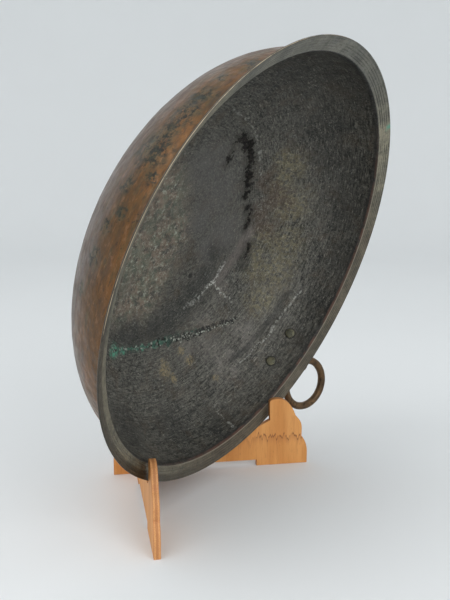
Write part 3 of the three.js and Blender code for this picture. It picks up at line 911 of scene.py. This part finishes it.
def make_seams(inside_look, outside_look):
    """The braze that joins the pan to the wall, inside and out, and the wall sheet's own seam."""
    steps = 721
    turn = np.linspace(0, 2 * math.pi, steps)
    widths = ragged_widths(steps, 1.9 * MM, 0.5 * MM)
    widths[-1] = widths[0]
    radii = np.full(steps, PAN_RADIUS - 0.15 * MM)
    bead("pan_seam_inside", turn, radii, widths, 0.14 * MM, 0.1 * MM, INSIDE, inside_look)
    bead("pan_seam_outside", turn, radii, widths, 0.16 * MM, 0.08 * MM, OUTSIDE, outside_look)
    start, end, steps = -32, 49, 346
    degrees = np.linspace(start, end, steps)
    past = np.clip((degrees - 5) / (end - 5), 0, 1)
    before = np.clip((-10 - degrees) / 20, 0, 1)
    radii = PAN_RADIUS + 1.2 * MM + 50 * MM * past ** 1.5 + 9 * MM * before ** 2
    widths = ragged_widths(steps, 1.9 * MM, 1.9 * MM) * (1 + 0.9 * bell(degrees, 10, 22))
    radii = radii + random.normal(0, 0.7 * MM, steps)
    angles = np.radians(degrees)
    bead("wall_seam_inside", angles, radii, widths, 0.3 * MM, 0.12 * MM, INSIDE, wall_braze())


# -------------------- the bracket, rivets and ring

def wall_place(angle):
    """The wall frame at the bracket's depth and a rim angle, in the CAD frame."""
    (radius, depth), (out, down) = section_at(phase_at_depth(BRACKET_DEPTH))
    normal = Vector((out, 0, -down))
    around = Vector((0, 1, 0))
    across = around.cross(normal)
    columns = Matrix((across, around, normal)).transposed().to_4x4()
    return BOWL @ rim_turn(angle) @ Matrix.Translation((radius, 0, -depth)) @ columns


def lathe_piece(name, profile, steps, matrix, look, uneven):
    """A solid of revolution about Z from (radius, height), from axis to axis, with uneven radii."""
    inner = profile[1:-1]
    points = np.array([(r * math.cos(a), r * math.sin(a), h) for r, h in inner for a in full_turn(steps)])
    points[:, :2] *= (1 + uneven * swell(points + 0.5, 6 * MM))[:, None]
    points = np.vstack([points, [0, 0, profile[0][1]], [0, 0, profile[-1][1]]])
    return make_mesh(name, points, capped_faces(len(inner), steps), matrix, (look,))


def domed(radius, start, direction, dome):
    """Half of a rivet head's outline from the axis out to its edge, on one side of the sheet."""
    turn = np.linspace(0.02, 1, 9) * math.pi / 2
    return [(radius * math.sin(t), start + direction * dome * (0.35 + 0.65 * math.cos(t))) for t in turn]


def make_rivet(name, node, angle, look):
    inside, outside = -SHEET - 0.9 * MM, PLATE_THICKNESS + 0.9 * MM
    head_in, head_out, shank = 7.2 * MM, 6 * MM, 3 * MM
    flat, dome = 1.5 * MM, 2.8 * MM
    low = domed(head_in, inside, -1, flat)
    high = domed(head_out, outside, 1, dome)[::-1]
    profile = [
        (0, inside - flat), *low, (head_in, inside), (shank, inside),
        (shank, outside), (head_out, outside), *high, (0, outside + dome),
    ]
    piece = lathe_piece(name, profile, 40, wall_place(angle), look, 0.05)
    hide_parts(node)
    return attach(piece, "bowl")


def strap_mesh():
    """The bracket's strap, bent to the wall: rounded sections along the rim, tapering to round ends."""
    stations = np.sin(np.linspace(-math.pi / 2, math.pi / 2, 61)) * (PLATE_LENGTH / 2)
    straight = PLATE_LENGTH / 2 - PLATE_WIDTH / 2
    section = [
        (-1, 0.15), (-1, 0.7), (-0.9, 0.94), (-0.75, 1), (0, 1.04), (0.75, 1),
        (0.9, 0.94), (1, 0.7), (1, 0.15), (0.94, 0), (0, 0), (-0.94, 0),
    ]
    least, along_sheet = 0.4 * MM, 0.985
    radius_here = on_section(phase_at_depth(BRACKET_DEPTH), 0)[0]
    points = []
    for along in stations:
        past = max(0.0, abs(along) - straight)
        half = math.sqrt(max((PLATE_WIDTH / 2) ** 2 - past ** 2, least ** 2))
        turn = along / radius_here
        for share, rise in section:
            depth = BRACKET_DEPTH + share * half * along_sheet
            r, d = on_section(phase_at_depth(depth), PLATE_GAP + rise * PLATE_THICKNESS)
            points.append((r * math.cos(turn), r * math.sin(turn), -d))
    faces = grid_faces(len(stations), len(section), False).tolist()
    faces.append(tuple(range(len(section)))[::-1])
    start = (len(stations) - 1) * len(section)
    faces.append(tuple(start + i for i in range(len(section))))
    return points, faces


def flat_solid(name, outlines, thickness, edge):
    """A flat plate with rounded edges, from closed outlines in its own plane. The first is outside."""
    curve = bpy.data.curves.new(name, "CURVE")
    curve.dimensions = "2D"
    curve.fill_mode = "BOTH"
    curve.extrude = thickness / 2 - edge
    curve.bevel_depth = edge
    curve.bevel_resolution = 2
    curve.offset = -edge
    for outline in outlines:
        spline = curve.splines.new("POLY")
        spline.points.add(len(outline) - 1)
        for point, (x, y) in zip(spline.points, outline):
            point.co = (x, y, 0, 1)
        spline.use_cyclic_u = True
    holder = add_object(name, curve)
    bpy.context.view_layer.update()
    mesh = bpy.data.meshes.new_from_object(holder.evaluated_get(bpy.context.evaluated_depsgraph_get()))
    bpy.data.objects.remove(holder)
    bpy.data.curves.remove(curve)
    return mesh


def arc(centre, radius, turn):
    return np.array(centre) + radius * np.column_stack([np.cos(turn), np.sin(turn)])


def lug_outlines():
    """The lug's side view, as (radius, -depth): over the eye, down its back, along the wall and up its
    front, and then the eye's hole."""
    eye = np.array([EYE_RADIUS, -EYE_DEPTH])
    crown = arc(eye, EYE_OUTER, np.radians(np.linspace(180, -80, 34)))
    wall = [on_section(phase_at_depth(d * MM), PLATE_GAP + 0.6 * MM) for d in np.linspace(60, 30, 12)]
    wall = np.array([(r, -d) for r, d in wall])
    front = bend(wall[-1], eye + np.array([-20, -9]) * MM, crown[0], 8)[1:-1]
    back = bend(crown[-1], eye + np.array([-10.5, -28]) * MM, wall[0], 8)[1:-1]
    return [np.vstack([crown, back, wall, front]), arc(eye, EYE_HOLE, full_turn(40))]


def make_bracket(look):
    mesh = flat_solid("lug", lug_outlines(), EYE_THICKNESS, 0.9 * MM)
    mesh.transform(Matrix.Rotation(math.pi / 2, 4, "X"))
    points, faces = strap_mesh()
    count = len(points)
    points = [*points, *[v.co[:] for v in mesh.vertices]]
    faces = [*faces, *[tuple(count + i for i in p.vertices) for p in mesh.polygons]]
    piece = make_mesh("bracket_with_eye", points, faces, BOWL @ rim_turn(HANDLE_ANGLE), (look,))
    shade_by_angle(piece, 40)
    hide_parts("handle_bracket")
    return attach(piece, "bowl")


def ring_place():
    """The ring's own frame: Z along its axis and Y up, in the middle of the CAD ring's box."""
    low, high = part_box("ring_handle")
    axis = Vector(next(j["axis"] for j in frame["joints"] if j["name"] == "ring_swing"))
    up = Vector((0, 0, 1))
    normal = axis.cross(up).normalized()
    place = Matrix((up.cross(normal), up, normal)).transposed().to_4x4()
    place.translation = (low + high) / 2
    return place, (high.z - low.z) / 2


def make_ring(look):
    """The ring, forged from a rod that is a little uneven along its length."""
    place, outer_radius = ring_place()
    radius = outer_radius - RING_WIRE
    long_steps, short_steps = 160, 24
    points = []
    for a in full_turn(long_steps):
        wire = RING_WIRE * (0.97 + 0.035 * noise.noise(Vector((math.cos(a), math.sin(a), 0.3)) * 3))
        for b in full_turn(short_steps):
            r = radius + wire * math.cos(b)
            points.append((r * math.cos(a), r * math.sin(a), wire * math.sin(b)))
    points = np.array(points)
    points += (swell(points + 1, 7 * MM) * 0.12 * MM)[:, None]
    faces = grid_faces(long_steps, short_steps, True)[:, ::-1]
    piece = make_mesh("hanging_ring", points, faces, place, (look,))
    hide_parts("ring_handle")
    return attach(piece, "ring")


# -------------------- the stand

# Strokes of a board's outline, each (control point or None, end)
FRONT_SCROLL = [
    (None, (0, 17)), ((0, 32), (9.4, 44)), (None, (9.4, 56)), ((9.6, 69.5), (19.5, 76.5)),
    ((29, 105.6), (49, 105.6)), ((60, 105.6), (61.5, 100.6)),
]
LIP_NOTCH = [
    (None, (60.5, 72.2)), (None, (78, 63.2)), ((83, 63.2), (83, 68.2)), (None, (83, 81.6)),
]
REAR_HORN = [
    ((198, 125.5), (203, 117)), ((212, 104), (212, 90)), ((213, 76), (225, 71)),
    ((234, 67), (240, REAR_HEIGHT)),
]
REAR_END = [
    (None, (BOARD_LENGTH - 14, REAR_HEIGHT)),
    ((BOARD_LENGTH, REAR_HEIGHT), (BOARD_LENGTH, REAR_HEIGHT - 16)), (None, (BOARD_LENGTH, 0)),
]


def trace(points, strokes):
    """Adds strokes to an outline: straight ones, and curved ones where there is a control point."""
    for control, end in strokes:
        if control is None:
            points.append(end)
        else:
            points.extend(map(tuple, bend(points[-1], control, end, 15)[1:]))


def board_outline(slot_from_below):
    """A board's side view, from its front foot over the top and back along the floor."""
    slot_front = BOARD_FRONT - BOARD_THICKNESS / 2 - SLOT_GAP
    slot_back = BOARD_FRONT + BOARD_THICKNESS / 2 + SLOT_GAP
    slot_end = (REAR_HEIGHT + (SLOT_GAP if slot_from_below else -SLOT_GAP)) / 2
    points = [(0, 0)]
    trace(points, FRONT_SCROLL)
    trace(points, LIP_NOTCH)
    sweep = [-math.acos((b - CRADLE_LOW) / CRADLE_RADIUS) for b in (CRADLE_START, CRADLE_END)]
    cradle = arc((CRADLE_LOW, CRADLE_HEIGHT + CRADLE_RADIUS), CRADLE_RADIUS, np.linspace(*sweep, 40))
    points.extend(map(tuple, bend(points[-1], (points[-1][0], CRADLE_HEIGHT + 0.6), cradle[0], 6)[1:]))
    points.extend(map(tuple, cradle[1:]))
    trace(points, REAR_HORN)
    if not slot_from_below:
        points += [(slot_front, REAR_HEIGHT), (slot_front, slot_end)]
        points += [(slot_back, slot_end), (slot_back, REAR_HEIGHT)]
    trace(points, REAR_END)
    if slot_from_below:
        points += [(slot_back, 0), (slot_back, slot_end), (slot_front, slot_end), (slot_front, 0)]
    arch_end = BOARD_LENGTH - FOOT_LENGTH
    points += [(arch_end, 0), (arch_end, ARCH_HEIGHT), (FOOT_LENGTH, ARCH_HEIGHT), (FOOT_LENGTH, 0)]
    return np.array(points) * MM


def board_place(side):
    """The frame of a board, at the crossing. side is +1 for the board whose tip points to +X."""
    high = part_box("stand_board_right")[1]
    half = BOARD_THICKNESS / 2 * MM
    behind = (BOARD_LENGTH - BOARD_FRONT) * MM
    crossing = Vector((0, high.y - (behind + half) * math.sin(math.pi / 4), 0))
    return Matrix.Translation(crossing) @ Matrix.Rotation(math.pi / 2 + side * math.pi / 4, 4, "Z")


def make_board(name, node, body, side):
    place = board_place(side)
    outline = board_outline(side > 0) - np.array([BOARD_FRONT * MM, 0])
    mesh = flat_solid(name, [outline], BOARD_THICKNESS * MM, 0.45 * MM)
    mesh.transform(place @ Matrix.Rotation(math.pi / 2, 4, "X"))
    piece = add_object(name, mesh)
    mesh.materials.clear()
    mesh.materials.append(board_wood(name + "_veneer", place, side > 0))
    mesh.materials.append(ply_edge(name + "_edge", place))
    across = place.to_3x3() @ Vector((0, 1, 0))
    veneer_slot, edge_slot, nearly_flat = 0, 1, 0.95
    index = [veneer_slot if abs(p.normal.dot(across)) > nearly_flat else edge_slot for p in mesh.polygons]
    mesh.polygons.foreach_set("material_index", index)
    shade_by_angle(piece, 30)
    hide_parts(node)
    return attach(piece, body)


# -------------------- camera, light and floor

def make_camera():
    """The camera stands 56 degrees to the left of the mouth's axis and 11 degrees above level."""
    azimuth, elevation, roll = math.radians(-55.97), math.radians(11.11), math.radians(0.64)
    target, distance = Vector((0.0111, -0.0035, 0.2795)), 1.0716
    level = math.cos(elevation)
    direction = Vector((-math.sin(azimuth) * level, math.cos(azimuth) * level, -math.sin(elevation)))
    data = bpy.data.cameras.new("camera")
    data.sensor_fit = "VERTICAL"
    data.sensor_height = 36
    data.lens = 47.7
    camera = add_object("camera", data)
    camera.location = target - direction * distance
    turn = direction.to_track_quat("-Z", "Y") @ Quaternion((0, 0, 1), roll)
    camera.rotation_euler = turn.to_euler()
    bpy.context.scene.camera = camera


def area_light(name, place, aim, size, power):
    data = bpy.data.lights.new(name, "AREA")
    data.shape = "DISK"
    data.size = size
    data.energy = power
    lamp = add_object(name, data)
    lamp.location = place
    lamp.rotation_euler = (Vector(aim) - Vector(place)).to_track_quat("-Z", "Y").to_euler()


def make_floor():
    """A pale floor that curves up into a pale wall all round, open at the top."""
    flat, curve_radius, top, steps = 2.6, 1.2, 3.4, 96
    turn = np.linspace(0, math.pi / 2, 12)
    profile = [(flat * share, 0) for share in np.linspace(0.1, 1, 8)]
    profile += [(flat + curve_radius * math.sin(t), curve_radius * (1 - math.cos(t))) for t in turn[1:]]
    profile.append((flat + curve_radius, top))
    points = [(r * math.cos(a), r * math.sin(a), h) for r, h in profile for a in full_turn(steps)]
    faces = grid_faces(len(profile), steps, False)[:, ::-1].tolist()
    faces.append(tuple(range(steps)))
    look = Look("floor_paper")
    look.base(look.noise(1200, 3, 0.5), (226, 228, 229), (232, 234, 235))
    floor = make_mesh("floor", points, faces, Matrix.Identity(4), (look.finish(0.0, 0.9),))


def make_light():
    """Soft light: a large window on the left, a fill from the front, and an even pale sky."""
    world = bpy.data.worlds.new("world")
    world.use_nodes = True
    sky = world.node_tree.nodes["Background"]
    sky.inputs["Color"].default_value = (0.96, 0.99, 1.0, 1)
    sky.inputs["Strength"].default_value = 0.8
    bpy.context.scene.world = world
    area_light("window", (-1.9, 0.2, 2.6), (0, 0, 0.25), 2.4, 30)
    area_light("fill", (-0.9, -2.5, 1.7), (0, 0, 0.3), 2.0, 28)
    bpy.context.scene.view_settings.view_transform = "Standard"


make_camera()
make_floor()
make_light()
outside_look = outside_copper()
pan_look = inside_patina("pan_patina", 0.72)
make_side_wall(lip_metal(), inside_patina("wall_patina", 1.0), outside_look)
make_bottom_pan(pan_look, outside_look)
make_seams(pan_look, outside_look)
bronze = handle_metal("dark_bronze", (84, 66, 48), (116, 90, 62))
rivet_look = handle_metal("rivet_metal", (82, 82, 70), (114, 110, 88))
make_rivet("rivet_lower", "bracket_rivet_lower", HANDLE_ANGLE - RIVET_ANGLE, rivet_look)
make_rivet("rivet_upper", "bracket_rivet_upper", HANDLE_ANGLE + RIVET_ANGLE, rivet_look)
make_bracket(bronze)
make_ring(bronze)
make_board("board_right", "stand_board_right", "stand_right", 1)
make_board("board_left", "stand_board_left", "stand_left", -1)
